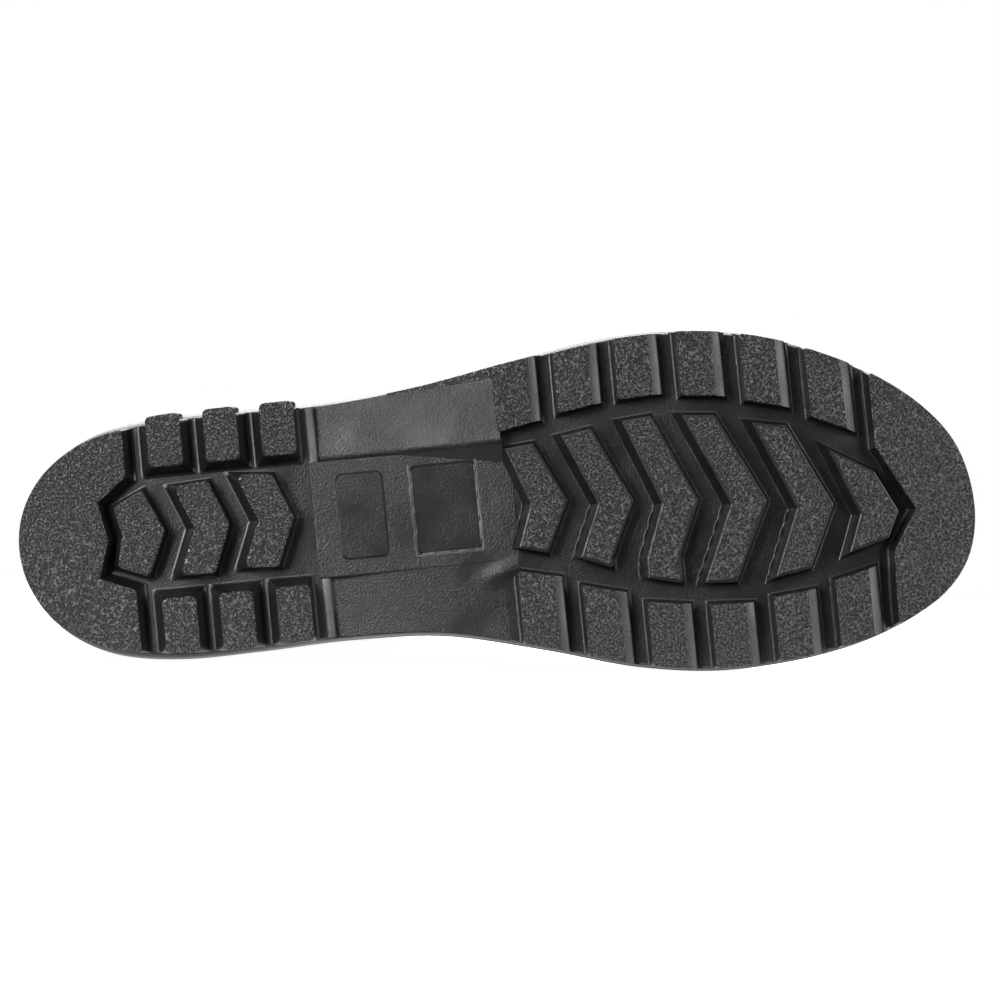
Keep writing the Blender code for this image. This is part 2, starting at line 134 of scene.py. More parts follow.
# Upper: front and back points of each ring, half width, shift to the medial side, and shares of the sole's
# plan and dip
Ring = namedtuple("Ring", "front_x front_z back_x back_z half shift plan dip")
UPPER_RINGS = [
    Ring(296.5, 24.3, 3.5, 30.3, 49.6, 0.0, 1.00, 1.00),
    Ring(297.0, 32.0, 2.2, 37.0, 50.2, 0.0, 1.00, 0.85),
    Ring(296.5, 40.0, 1.0, 45.0, 49.6, 0.0, 1.00, 0.60),
    Ring(292.5, 49.0, 0.3, 53.0, 47.8, 0.0, 1.00, 0.38),
    Ring(284.0, 57.5, 0.2, 60.5, 45.6, 0.0, 0.98, 0.22),
    Ring(270.0, 65.0, 0.7, 68.0, 43.8, 0.0, 0.94, 0.12),
    Ring(251.0, 71.5, 1.7, 75.5, 42.6, -0.5, 0.86, 0.05),
    Ring(230.0, 78.5, 3.2, 83.5, 41.6, -1.0, 0.72, 0.00),
    Ring(208.0, 87.5, 5.0, 92.0, 40.8, -1.5, 0.55, 0.00),
    Ring(187.0, 99.0, 6.6, 101.5, 40.2, -2.0, 0.38, 0.00),
    Ring(169.0, 112.5, 7.7, 112.5, 39.9, -2.5, 0.22, 0.00),
    Ring(154.5, 128.5, 8.0, 126.0, 40.0, -3.0, 0.10, 0.00),
    Ring(144.0, 148.0, 7.2, 143.0, 40.4, -3.6, 0.02, 0.00),
    Ring(138.0, 171.0, 5.2, 165.0, 41.2, -4.3, 0.00, 0.00),
    Ring(135.5, 200.0, 2.4, 194.0, 42.4, -5.2, 0.00, 0.00),
    Ring(135.5, 238.0, -1.4, 232.0, 43.9, -6.2, 0.00, 0.00),
    Ring(137.3, 284.0, -5.6, 278.0, 45.1, -7.2, 0.00, 0.00),
    Ring(139.6, 330.0, -9.4, 325.0, 45.8, -7.8, 0.00, 0.00),
    Ring(141.5, 366.0, -12.0, 362.0, 46.2, -8.0, 0.00, 0.00),
]

# Tread. A margin is how far a face stays inside the sole's edge. Lateral heel lugs also reach out past it.
HeelLug = namedtuple("HeelLug", "start end front_draft")
HEEL_LUGS = [HeelLug(43.1, 53.7, 2.6), HeelLug(61.0, 71.5, 2.6), HeelLug(78.8, 89.5, 0.6)]
HEEL_LUG_INNER = {"lateral": -20.9, "medial": 20.3}
HEEL_LUG_MARGIN = 0.3
HEEL_LUG_OUT = 1.9
HEEL_LUG_STAND = 0.02
SideLug = namedtuple("SideLug", "side start inner_back inner_front margin")
SIDE_LUGS = [
    SideLug("lateral", 152.4, -21.4, -23.4, 0.4),
    SideLug("lateral", 171.8, -25.5, -27.1, 1.1),
    SideLug("lateral", 190.9, -27.9, -28.4, 0.7),
    SideLug("lateral", 210.6, -27.4, -26.3, 0.3),
    SideLug("lateral", 230.5, -23.9, -21.3, 0.3),
    SideLug("lateral", 250.4, -17.0, -12.4, 0.3),
    SideLug("medial", 154.4, 22.3, 24.7, 0.4),
    SideLug("medial", 174.1, 28.6, 31.4, 0.4),
    SideLug("medial", 193.7, 35.8, 37.3, 0.3),
    SideLug("medial", 213.3, 38.4, 39.0, 0.3),
    SideLug("medial", 233.1, 38.0, 37.1, 0.3),
    SideLug("medial", 252.8, 34.6, 32.3, 0.3),
]
SIDE_LUG_FACE = 10.4
CHAMFER_DEPTH = 1.6
CHAMFER_CURVE = 1.5
FLOOR_MARGIN = 0.6
PLATE_MARGIN = 0.3
Chevron = namedtuple(
    "Chevron", "apex_x apex_y depth slope back_slope lat_back lat_front med_back med_front bend"
)
HEEL_CHEVRONS = [
    Chevron(46.1, -0.6, 13.4, 0.44, 0.22, -9.8, -14.2, 9.4, 13.2, 40.0),
    Chevron(66.5, -0.8, 11.2, 0.40, 0.40, -14.4, -15.0, 13.7, 14.0, 40.0),
    Chevron(86.6, -1.2, 11.2, 0.40, 0.40, -16.2, -15.2, 13.2, 13.9, 40.0),
]
CHEVRONS = [
    Chevron(172.2, 1.8, 11.8, 0.48, 0.36, -16.2, -17.0, 15.1, 17.6, 40.0),
    Chevron(192.7, 3.8, 11.3, 0.47, 0.43, -18.5, -19.9, 20.1, 24.2, 21.5),
    Chevron(212.9, 5.7, 11.6, 0.44, 0.38, -21.4, -22.1, 28.3, 30.9, 22.5),
    Chevron(234.3, 7.8, 11.5, 0.49, 0.44, -21.4, -20.4, 31.6, 32.2, 40.0),
    Chevron(255.0, 11.0, 11.7, 0.48, 0.42, -17.1, -15.0, 32.0, 30.2, 40.0),
    Chevron(275.3, 14.9, 12.3, 0.50, 0.39, -6.7, 1.8, 26.5, 23.1, 40.0),
]
Corner = namedtuple("Corner", "x y")
HEEL_PLATE_EDGE = [
    Corner(35.3, -18.6), Corner(25.9, -11.4), Corner(28.2, 0.5), Corner(24.5, 12.3), Corner(35.4, 16.8),
]
HEEL_PLATE_END = 35.4
TOE_PLATE_EDGE = [
    Corner(269.7, -5.5), Corner(280.7, 14.7), Corner(272.5, 27.4), Corner(271.8, 42.0),
]
TOE_PLATE_START = {"lateral": 269.9, "medial": 271.9}
FOREFOOT_X = 150.0
Panel = namedtuple("Panel", "back front lateral medial")
PANEL = Panel(92.3, 156.0, -17.8, 18.8)

# Breast of the heel, and the bead along its edge, coloured light as a painted highlight: the ends of its
# axis, its radius and its sides
BREAST_X = 94.0
BREAST_BEAD = [Vector((93.6, -35.2, 7.2)), Vector((94.4, 37.4, 7.2))]
BREAST_BEAD_RADIUS = 1.6
BREAST_BEAD_SIDES = 40

# Ramps beside the waist panel. The lateral one is plane, with a slope down to the panel and a rough lip at
# its outer edge. The medial one is curved: it lies below the panel at the heel, runs level with it further
# on and swells where it meets the lugs.
Ramp = namedtuple("Ramp", "back front inner margin back_level front_level tilt slope_depth")
LATERAL_RAMP = Ramp(93.5, 153.2, -18.7, 0.4, 7.6, 0.0, 0.1, 5.0)
RampRow = namedtuple("RampRow", "x level")
MEDIAL_RAMP = [
    RampRow(93.5, 7.8), RampRow(106.0, 6.4), RampRow(118.0, 5.5), RampRow(132.0, 5.15), RampRow(155.2, 5.1),
]
MEDIAL_RAMP_INNER = 16.5
MEDIAL_RAMP_MARGIN = 0.6
MEDIAL_RAMP_TILT = 0.05
Swell = namedtuple("Swell", "x y turn length width height")
SWELL = Swell(150.2, 22.0, -0.33, 6.5, 2.8, 1.1)
PATCH_RUNS = 60
PATCH_LINES = 40
RAMP_ROOT = 15.0
LIP_BACK = 119.0
LIP_WIDTH = 2.8
LIP_OVERLAP = 0.5
LIP_STANDS = {"back": -0.15, "front": 0.45}

# Walls of a tread block: how far each leans out from face to floor, the share of a fillet where it meets
# the floor, the run of a chamfer at the face, the share of the block's bevel it takes, and whether its
# corners are rounded in plan
Wall = namedtuple("Wall", "draft fillet chamfer bevel rounded")
EDGE = Wall(0.1, 0.0, 0.0, 0.35, True)
STEEP = Wall(0.6, 1.0, 0.0, 1.0, True)
CHAMFERED = Wall(0.6, 1.0, 3.3, 0.4, False)
SLOPED = Wall(2.0, 0.4, 0.0, 1.0, False)
HEEL_WALL = Wall(2.6, 1.0, 0.0, 1.0, True)
HEEL_PLATE_WALL = Wall(2.2, 1.0, 0.0, 1.0, True)
TOE_PLATE_WALL = Wall(1.2, 1.0, 0.0, 1.0, True)
BREAST = Wall(1.2, 1.0, 0.0, 1.0, True)
PANEL_WALL = Wall(0.3, 0.0, 0.0, 1.0, True)
RAMP_INNER = Wall(5.8, 0.0, 0.0, 1.0, False)
RAMP_END = Wall(0.5, 0.0, 0.0, 0.3, False)
FILLET = 0.8
SINK = 0.4
ROUND_TURN = math.radians(30)
CORNER_TAPER = 0.7

# Edge finish of each kind of block: bevel of the face's edge, smooth rim inside it, plan radius of corners.
# Without a rim the grain runs over the bevel.
Finish = namedtuple("Finish", "bevel rim radius")
LUG_FINISH = Finish(0.35, 0.0, 0.8)
CHEVRON_FINISH = Finish(0.6, 0.2, 1.0)
HEEL_FINISH = Finish(0.7, 0.0, 2.0)
PLATE_FINISH = Finish(0.5, 0.0, 1.0)
FLOOR_FINISH = Finish(0.5, 0.0, 0.8)
BREAST_FINISH = Finish(0.5, 0.0, 0.8)
LIP_FINISH = Finish(0.3, 0.0, 0.5)
RAMP_FINISH = Finish(0.8, 0.0, 1.5)
RIM_GAP = 0.05

# Materials of the outsole, in order
SMOOTH, GRAIN, FLASH, BEAD_HIGHLIGHT, WAIST = range(5)

# Bare frames moulded into the waist panel
Frame = namedtuple("Frame", "back front lateral medial radius depth")
BLANK_FRAME = Frame(100.3, 115.0, -13.3, 13.6, 2.2, 0.6)
BORDERED_FRAME = Frame(124.0, 144.0, -13.6, 14.0, 1.6, 0.8)

# Cutter of a frame: how far it stands out of the panel, and its reach past the frame's outline at each level
CUTTER_STAND = 1.0
CUTTER_REACH = {"top": 1.0, "panel": 0.25, "floor": -0.45}

# Thin ridges left by the mould: width and height of each kind, and how far its line wanders
Flash = namedtuple("Flash", "width height wander")
CHEVRON_FLASH = Flash(0.7, 0.6, 0.15)
FAINT_FLASH = Flash(0.45, 0.25, 0.2)
BORDER_FLASH = Flash(1.5, 0.5, 0.1)
FLASH_STEP = 0.6
FLASH_ROOT = 0.3
FAINT_ARM = 0.7
BORDER_GAP = 0.6

# Waves that a ridge's line and height follow, in radians for each millimetre of x and y
Wave = namedtuple("Wave", "x y")
SWAY_WAVE = Wave(1.9, 1.3)
SLOW_WAVE = Wave(0.7, -0.47)
HEIGHT_WAVE = Wave(1.1, -0.83)
HEIGHT_MEAN = 0.55
HEIGHT_SWING = 0.45

# Groove that sets off the collar's bead, rounded rim of the collar, and parting line of the upper
BEAD_HEIGHT = 8.0
BEAD_DEPTH = 0.8
BEAD_GROOVE = 1.8
RIM_ROUND = 0.8
RIM_STEPS = 3
RIM_ANGLE = math.radians(60)
PARTING_TURN = 0.012
PARTING_OUT = 0.35

# Rounded edge of the insole: distance in from its outline, and share of its thickness
EdgeStep = namedtuple("EdgeStep", "inward share")
INSOLE_EDGE = [EdgeStep(0.0, 0.0), EdgeStep(0.0, 0.6), EdgeStep(0.25, 0.87), EdgeStep(0.9, 1.0)]

# Kinds of PVC: darkest and lightest colour, range of roughness, and height of rough patches in metres
Pvc = namedtuple("Pvc", "name dark light roughness relief")
BLACK = (0.004, 0.0042, 0.0045, 1)
SOFT_BLACK = (0.009, 0.0092, 0.0098, 1)
SMOOTH_PVC = Pvc("pvc_smooth", BLACK, SOFT_BLACK, (0.32, 0.42), 0.0002)
WAIST_PVC = Pvc("pvc_waist", BLACK, SOFT_BLACK, (0.4, 0.5), 0.0005)
SATIN_PVC = Pvc("pvc_satin", (0.0135, 0.014, 0.015, 1), (0.0175, 0.018, 0.0195, 1), (0.44, 0.56), 0.00004)
# Flash ridges: the same black PVC, painted light grey as a painted highlight
FLASH_HIGHLIGHT_PVC = Pvc("pvc_flash_painted_highlight", (0.05, 0.05, 0.051, 1), (0.16, 0.16, 0.162, 1), (0.4, 0.5), 0.0004)
# Bead at the breast's edge: the same black PVC, painted light as a painted highlight
BEAD_HIGHLIGHT_PVC = Pvc("pvc_bead_painted_highlight", (0.015, 0.0152, 0.0156, 1), (0.16, 0.16, 0.163, 1), (0.4, 0.5), 0.0004)
# Grain of the tread faces: painted shade in its pits and painted sparkle on its tops
GRAIN_PIT_SHADE = (0.0015, 0.0015, 0.0016, 1)
GRAIN_TOP_SPARKLE = (0.108, 0.1085, 0.111, 1)

# Fabrics: darkest colour, painted shade between the loops, lightest colour, painted highlight on their tops,
# and pitch of the knit in metres
Knit = namedtuple("Knit", "name dark light pitch")
LINING = Knit("lining_knit", (0.05, 0.05, 0.052, 1), (0.14, 0.14, 0.145, 1), 0.0014)
INSOLE_FACE = Knit("insole_fabric", (0.09, 0.09, 0.094, 1), (0.2, 0.2, 0.205, 1), 0.0012)

# Photograph: the sole's axis leaves the heel at this pixel and rises to the right by this angle
IMAGE_SIZE = 1000
HEEL_PIXEL = (18.0, 547.2)
PHOTO_TILT = math.radians(5.5)
MM_PER_PIXEL = 0.312

# Camera and floor, in metres. The floor that shows in the gloss starts at the lead in front of the tread.
CAMERA_DISTANCE = 0.9
CAMERA_HEIGHT = 0.033
FLOOR_SIZE = 4.0
FLOOR_LEAD = 0.018
FLOOR_GREY = (0.9, 0.9, 0.9, 1)
WHITE = (1, 1, 1, 1)

# Soft lamps: place from the middle of the view, size of the lamp's face, power in watts, and whether its
# light is kept off all but the outsole
Lamp = namedtuple("Lamp", "name place size power tread_only")
LAMPS = [
    Lamp("heel_side", (-0.69, -0.82, 0.23), (0.4, 0.5), 16, True),
    Lamp("toe_side", (0.91, -0.59, 0.19), (0.4, 0.5), 6, True),
    Lamp("front", (-0.4, -1.4, 1.0), (1.2, 0.8), 11, False),
    Lamp("top", (0.0, 0.25, 0.9), (0.9, 0.5), 10, False),
    Lamp("back", (-0.2, 1.6, 1.2), (1.4, 1.0), 30, False),
]


def boot_to_frame():
    """Matrix from the boot's millimetres to the frame's metres, from the two mounts on the tread."""
    mounts = {mount["name"]: mount for mount in frame["record"]["mounts"]}
    heel = Vector(mounts["heel_tread"]["pos_m"])
    up = -Vector(mounts["heel_tread"]["axis"]).normalized()
    run = Vector(mounts["ball_tread"]["pos_m"]) - heel
    run -= up * run.dot(up)
    plan = BALL_MOUNT - HEEL_MOUNT
    ahead = (plan.x * run + plan.y * run.cross(up)).normalized()
    turn = Matrix((ahead, up.cross(ahead), up)).transposed().to_4x4()
    return Matrix.Translation(heel) @ turn @ Matrix.Scale(MM, 4) @ Matrix.Translation(-HEEL_MOUNT)


BOOT = boot_to_frame()


def spline(at, knots, values):
    """Smooth curve through the values, with slopes taken from the neighbouring rows."""
    knots = np.asarray(knots, float)
    values = np.asarray(values, float)
    slopes = np.gradient(values, knots)
    i = int(np.clip(np.searchsorted(knots, at) - 1, 0, len(knots) - 2))
    gap = knots[i + 1] - knots[i]
    t = (at - knots[i]) / gap
    start = (1 + 2 * t) * (1 - t) ** 2 * values[i] + t * (1 - t) ** 2 * gap * slopes[i]
    end = t * t * (3 - 2 * t) * values[i + 1] + t * t * (t - 1) * gap * slopes[i + 1]
    return start + end


def turn_at(x):
    """Angle whose cosine gives x along the sole, so that both ends of the outline come out round."""
    return math.acos(max(-1.0, min(1.0, 1 - 2 * x / SOLE_LENGTH)))


def edge_y(x, side):
    turns = [turn_at(row.x) for row in OUTLINE]
    return spline(turn_at(x), turns, [getattr(row, side) for row in OUTLINE])


def spring(x):
    return SPRING_RISE * max(0.0, (x - SPRING_START) / (SOLE_LENGTH - SPRING_START)) ** 2


def sole_top(x):
    x = max(0.0, min(SOLE_LENGTH, x))
    return spline(x, [row.x for row in SOLE_TOP], [row.z for row in SOLE_TOP]) + spring(x)


def edge_point(turn, out):
    """Plan point moved out from the sole's edge. The turn is 0 at the heel, half a circle at the toe by way
    of the lateral side, and a full circle back at the heel by way of the medial side."""

    def on_edge(at):
        at %= 2 * math.pi
        side = "lateral" if at <= math.pi else "medial"
        x = SOLE_LENGTH / 2 * (1 - math.cos(at))
        return Vector((x, edge_y(x, side)))

    along = (on_edge(turn + NORMAL_STEP) - on_edge(turn - NORMAL_STEP)).normalized()
    return on_edge(turn) + out * Vector((along.y, -along.x))


def edge_run(start, end, out):
    """Plan points along the sole's edge between two turns."""
    steps = max(2, round((end - start) / math.pi * EDGE_STATIONS))
    return [edge_point(start + (end - start) * i / steps, out) for i in range(steps + 1)]


def grow(polygon, offsets):
    """Move each edge of a counter-clockwise polygon out by its own offset."""
    count = len(polygon)
    normals = []
    for i in range(count):
        along = (polygon[(i + 1) % count] - polygon[i]).normalized()
        normals.append(Vector((along.y, -along.x)))
    grown = []
    for i, corner in enumerate(polygon):
        before, after = normals[i - 1], normals[i]
        out_before, out_after = offsets[i - 1], offsets[i]
        cross = before.x * after.y - before.y * after.x
        if abs(cross) < NEARLY_STRAIGHT:
            grown.append(corner + (before * out_before + after * out_after) / 2)
            continue
        shift_x = (out_before * after.y - out_after * before.y) / cross
        shift_y = (before.x * out_after - after.x * out_before) / cross
        grown.append(corner + Vector((shift_x, shift_y)))
    return grown


def turn_left(arrive, leave):
    """Angle of a left turn in plan from one direction to another."""
    return -arrive.angle_signed(leave, 0.0)


def outward_corners(face, walls):
    """Which corners of a face are rounded: the outward ones between two rounded walls."""
    found = []
    for i, corner in enumerate(face):
        turn = turn_left(corner - face[i - 1], face[(i + 1) % len(face)] - corner)
        if turn >= ROUND_TURN and walls[i - 1].rounded and walls[i].rounded:
            found.append(i)
    return found


def round_corners(face, corners, radius):
    """Give the corners an arc of the radius, in plan."""
    points = []
    for i, corner in enumerate(face):
        if i not in corners:
            points.append(corner)
            continue
        arrive = corner - face[i - 1]
        leave = face[(i + 1) % len(face)] - corner
        turn = turn_left(arrive, leave)
        cut = min(radius * math.tan(turn / 2), ARC_SHARE * arrive.length, ARC_SHARE * leave.length)
        tight = cut / math.tan(turn / 2)
        start = corner - arrive.normalized() * cut
        centre = start + Vector((-arrive.y, arrive.x)).normalized() * tight
        for k in range(ARC_STEPS + 1):
            swing = Matrix.Rotation(turn * k / ARC_STEPS, 2)
            points.append(centre + swing @ (start - centre))
    return points


def wall_offset(wall, depth, floor, bevel):
    """How far a wall stands out from the edge of its face, at a depth below the face."""
    into_bevel = max(0.0, bevel - depth)
    rounding = wall.bevel * (bevel - math.sqrt(bevel * bevel - into_bevel * into_bevel))
    past = depth - (floor - FILLET)
    if past <= 0:
        foot = 0.0
    elif past < FILLET:
        foot = FILLET - math.sqrt(FILLET * FILLET - past * past)
    else:
        foot = past
    lean = wall.draft * depth / floor
    chamfer = wall.chamfer * (1 - (1 - min(1.0, depth / CHAMFER_DEPTH)) ** CHAMFER_CURVE)
    return chamfer + lean + wall.fillet * foot - rounding


def bevel_steps(bevel):
    return max(LEAST_BEVEL_STEPS, round(BEVEL_STEPS_PER_MM * bevel))


def wall_depths(walls, floor, bevel):
    """Depths of a block's rings: round the bevel, down the chamfer and round the fillet at the floor."""
    steps = bevel_steps(bevel)
    depths = [bevel * (1 - math.cos(math.pi / 2 * i / steps)) for i in range(steps + 1)]
    if any(wall.chamfer for wall in walls):
        depths += [CHAMFER_DEPTH * share for share in CHAMFER_SHARES]
    if any(wall.fillet for wall in walls):
        turns = [math.pi / 2 * i / FILLET_STEPS for i in range(FILLET_STEPS + 1)]
        depths += [floor - FILLET * (1 - math.sin(turn)) for turn in turns]
    return depths + [floor + SINK]


def block_mesh(face, walls, level, floor, finish, face_slot, root=BLOCK_ROOT):
    """A tread block as a mesh in millimetres: smooth rim, bevelled edge, leaning walls and a fillet at the
    floor. Its corners grow sharper downwards. The level is a height or a function of the plan point, and the
    floor is its depth below the face."""

    def ring(offsets, radius, depth):
        points = round_corners(grow(face, offsets), corners, radius)
        heights = [level(point) if callable(level) else level for point in points]
        return [mesh.verts.new((point.x, point.y, z + depth)) for point, z in zip(points, heights)]

    mesh = bmesh.new()
    corners = outward_corners(face, walls)
    inset = finish.bevel + finish.rim + RIM_GAP
    rows = [ring([-inset] * len(face), finish.radius - inset, 0.0)]
    for depth in wall_depths(walls, floor, finish.bevel):
        offsets = [wall_offset(wall, depth, floor, finish.bevel) for wall in walls]
        rows.append(ring(offsets, finish.radius * (1 - CORNER_TAPER * depth / (floor + SINK)), depth))
    rows.append([mesh.verts.new((vertex.co.x, vertex.co.y, root)) for vertex in rows[-1]])
    top = mesh.faces.new(rows[0][::-1])
    top.material_index = face_slot
    mesh.faces.new(rows[-1])
    grained_rows = 0 if finish.rim else bevel_steps(finish.bevel)
    count = len(rows[0])
    for number, (lower, upper) in enumerate(zip(rows, rows[1:])):
        for i in range(count):
            after = (i + 1) % count
            side = mesh.faces.new((lower[i], lower[after], upper[after], upper[i]))
            side.material_index = face_slot if number < grained_rows else SMOOTH
    for x in np.arange(SPRING_START + SPRING_CUT, SOLE_LENGTH, SPRING_CUT):
        everything = mesh.verts[:] + mesh.edges[:] + mesh.faces[:]
        bmesh.ops.bisect_plane(
            mesh, geom=everything, plane_co=(x, 0, 0), plane_no=(1, 0, 0), dist=CUT_REACH,
        )
    for vertex in mesh.verts:
        vertex.co.z += spring(vertex.co.x)
    return mesh


def new_piece(name, mesh, materials):
    """Object from a millimetre mesh in the boot's frame, set in the frame's metres."""
    data = bpy.data.meshes.new(name)
    mesh.transform(BOOT)
    mesh.to_mesh(data)
    mesh.free()
    for material in materials:
        data.materials.append(material)
    obj = bpy.data.objects.new(name, data)
    bpy.context.scene.collection.objects.link(obj)
    return obj


def side_face(side, start, end, inner_start, inner_end, margin, front, inner_wall, back):
    """Face polygon and walls of a block on one side of the sole, counter-clockwise seen from above."""
    turns = [turn_at(start), turn_at(end)]
    inner = [Vector((end, inner_end)), Vector((start, inner_start))]
    walls = [front, inner_wall, back]
    if side == "medial":
        turns = [2 * math.pi - turn for turn in reversed(turns)]
        inner.reverse()
        walls.reverse()
    outer = edge_run(turns[0], turns[1], -margin)
    return outer + inner, [EDGE] * (len(outer) - 1) + walls


def end_face(start, end, inner, margin, inner_wall):
    """Face polygon and walls of a plate around the heel or the toe, with the corners of its inner edge."""
    outer = edge_run(start, end, -margin)
    return outer + inner, [EDGE] * (len(outer) - 1) + [inner_wall] * (len(inner) + 1)


def chevron_front(row, y):
    return Vector((row.apex_x - row.slope * abs(min(y, row.bend) - row.apex_y), y))


def chevron_back(row, y):
    return Vector((row.apex_x - row.depth - row.back_slope * abs(min(y, row.bend) - row.apex_y), y))


def chevron_face(row, heel_wall):
    """Arrow outline and walls, counter-clockwise from above. It starts at the notch on the heel side."""
    front_stops = [row.lat_front, row.apex_y] + [row.bend] * (row.bend < row.med_front) + [row.med_front]
    back_stops = [row.med_back] + [row.bend] * (row.bend < row.med_back)
    face = [chevron_back(row, row.apex_y), chevron_back(row, row.lat_back)]
    face += [chevron_front(row, y) for y in front_stops]
    face += [chevron_back(row, y) for y in back_stops]
    walls = [heel_wall] + [STEEP] * (len(front_stops) + 1) + [heel_wall] * len(back_stops)
    return face, walls


def breast_bead_mesh():
    """Bead along the edge of the heel's breast, painted light as a painted highlight. The waist panel hides
    its middle.
    """
    start, end = BREAST_BEAD
    along = end - start
    place = Matrix.Translation((start + end) / 2) @ along.to_track_quat("Z", "X").to_matrix().to_4x4()
    mesh = bmesh.new()
    bmesh.ops.create_cone(
        mesh, cap_ends=True, segments=BREAST_BEAD_SIDES, radius1=BREAST_BEAD_RADIUS,
        radius2=BREAST_BEAD_RADIUS, depth=along.length, matrix=place,
    )
    for face in mesh.faces:
        face.smooth = len(face.verts) == 4
        # The bead's colour is painted light, a painted highlight
        face.material_index = BEAD_HIGHLIGHT
    return mesh


def heel_blocks():
    """Blocks of the heel. Each lateral lug has a second, upright block, which stands out past the edge."""
    full = 2 * math.pi
    breast = turn_at(BREAST_X)
    face, walls = end_face(full - breast, full + breast, [], FLOOR_MARGIN, BREAST)
    yield block_mesh(face, walls, HEEL_FLOOR, PLATE_FLOOR - HEEL_FLOOR, BREAST_FINISH, SMOOTH)
    yield breast_bead_mesh()
    inner = [Vector(corner) for corner in HEEL_PLATE_EDGE]
    plate_end = turn_at(HEEL_PLATE_END)
    face, walls = end_face(full - plate_end, full + plate_end, inner, PLATE_MARGIN, HEEL_PLATE_WALL)
    yield block_mesh(face, walls, 0.0, HEEL_FLOOR, PLATE_FINISH, GRAIN)
    for row in HEEL_LUGS:
        front = HEEL_WALL._replace(draft=row.front_draft)
        for side, inner_y in HEEL_LUG_INNER.items():
            face, walls = side_face(
                side, row.start, row.end, inner_y, inner_y, HEEL_LUG_MARGIN, front, HEEL_WALL, HEEL_WALL,
            )
            yield block_mesh(face, walls, 0.0, HEEL_FLOOR, HEEL_FINISH, GRAIN)
        inner_y = HEEL_LUG_INNER["lateral"]
        face, walls = side_face(
            "lateral", row.start, row.end, inner_y, inner_y, -HEEL_LUG_OUT, EDGE, EDGE, EDGE,
        )
        yield block_mesh(face, walls, -HEEL_LUG_STAND, HEEL_FLOOR, HEEL_FINISH, GRAIN)
    for row in HEEL_CHEVRONS:
        face, walls = chevron_face(row, HEEL_WALL)
        yield block_mesh(face, walls, 0.0, HEEL_FLOOR, HEEL_FINISH, GRAIN)


def lateral_level(point):
    """Height of the lateral ramp. It rises to the toe and leans to the sole's edge."""
    row = LATERAL_RAMP
    along = (point.x - row.back) / (row.front - row.back)
    level = row.back_level + along * (row.front_level - row.back_level)
    return level + row.tilt * (row.inner - point.y)


def lip_share(x):
    return max(0.0, (x - LIP_BACK) / (LATERAL_RAMP.front - LIP_BACK))


def swell_height(x, y):
    """Height of the soft swelling at the toe end of the medial ramp."""
    along = (x - SWELL.x) * math.cos(SWELL.turn) + (y - SWELL.y) * math.sin(SWELL.turn)
    across = (y - SWELL.y) * math.cos(SWELL.turn) - (x - SWELL.x) * math.sin(SWELL.turn)
    return SWELL.height * math.exp(-(along / SWELL.length) ** 2 - (across / SWELL.width) ** 2)


def medial_ramp_mesh():
    """Curved face of the medial ramp from the panel to the sole's edge, closed by plain sides below it."""
    stations = [row.x for row in MEDIAL_RAMP]
    levels = [row.level for row in MEDIAL_RAMP]
    mesh = bmesh.new()
    rows = []
    for x in np.linspace(stations[0], stations[-1], PATCH_RUNS + 1):
        level = spline(x, stations, levels)
        outer = edge_y(x, "medial") - MEDIAL_RAMP_MARGIN
        row = []
        for y in np.linspace(MEDIAL_RAMP_INNER, outer, PATCH_LINES + 1):
            lean = MEDIAL_RAMP_TILT * (y - MEDIAL_RAMP_INNER)
            row.append(mesh.verts.new((x, y, level + lean - swell_height(x, y))))
        rows.append(row)
    for a, b in zip(rows, rows[1:]):
        for i in range(PATCH_LINES):
            face = mesh.faces.new((a[i], a[i + 1], b[i + 1], b[i]))
            face.smooth = True
            face.material_index = WAIST
    rim = rows[0] + [row[-1] for row in rows[1:-1]] + rows[-1][::-1] + [row[0] for row in rows[-2:0:-1]]
    root = [mesh.verts.new((vertex.co.x, vertex.co.y, RAMP_ROOT)) for vertex in rim]
    for i in range(len(rim)):
        after = (i + 1) % len(rim)
        mesh.faces.new((rim[i], root[i], root[after], rim[after]))
    mesh.faces.new(root)
    bmesh.ops.recalc_face_normals(mesh, faces=mesh.faces[:])
    return mesh


def ramp_blocks():
    row = LATERAL_RAMP
    face, walls = side_face(
        "lateral", row.back, row.front, row.inner, row.inner, row.margin, RAMP_END, RAMP_INNER, RAMP_END,
    )
    face = [point + Vector((0, LIP_WIDTH * lip_share(point.x))) for point in face[:-2]] + face[-2:]
    yield block_mesh(face, walls, lateral_level, row.slope_depth, RAMP_FINISH, WAIST, RAMP_ROOT)
    yield lip_mesh()
    yield medial_ramp_mesh()


def forefoot_blocks():
    full = 2 * math.pi
    back = turn_at(FOREFOOT_X)
    face, walls = end_face(back, full - back, [], FLOOR_MARGIN, EDGE)
    yield block_mesh(face, walls, FOREFOOT_FLOOR, PLATE_FLOOR - FOREFOOT_FLOOR, FLOOR_FINISH, SMOOTH)
    for row in SIDE_LUGS:
        face, walls = side_face(
            row.side, row.start, row.start + SIDE_LUG_FACE, row.inner_back, row.inner_front, row.margin,
            CHAMFERED, STEEP, STEEP,
        )
        yield block_mesh(face, walls, 0.0, FOREFOOT_FLOOR, LUG_FINISH, GRAIN)
    for row in CHEVRONS:
        face, walls = chevron_face(row, SLOPED)
        yield block_mesh(face, walls, 0.0, FOREFOOT_FLOOR, CHEVRON_FINISH, GRAIN)
    inner = [Vector(corner) for corner in reversed(TOE_PLATE_EDGE)]
    starts = turn_at(TOE_PLATE_START["lateral"]), full - turn_at(TOE_PLATE_START["medial"])
    face, walls = end_face(starts[0], starts[1], inner, PLATE_MARGIN, TOE_PLATE_WALL)
    yield block_mesh(face, walls, 0.0, FOREFOOT_FLOOR, PLATE_FINISH, GRAIN)


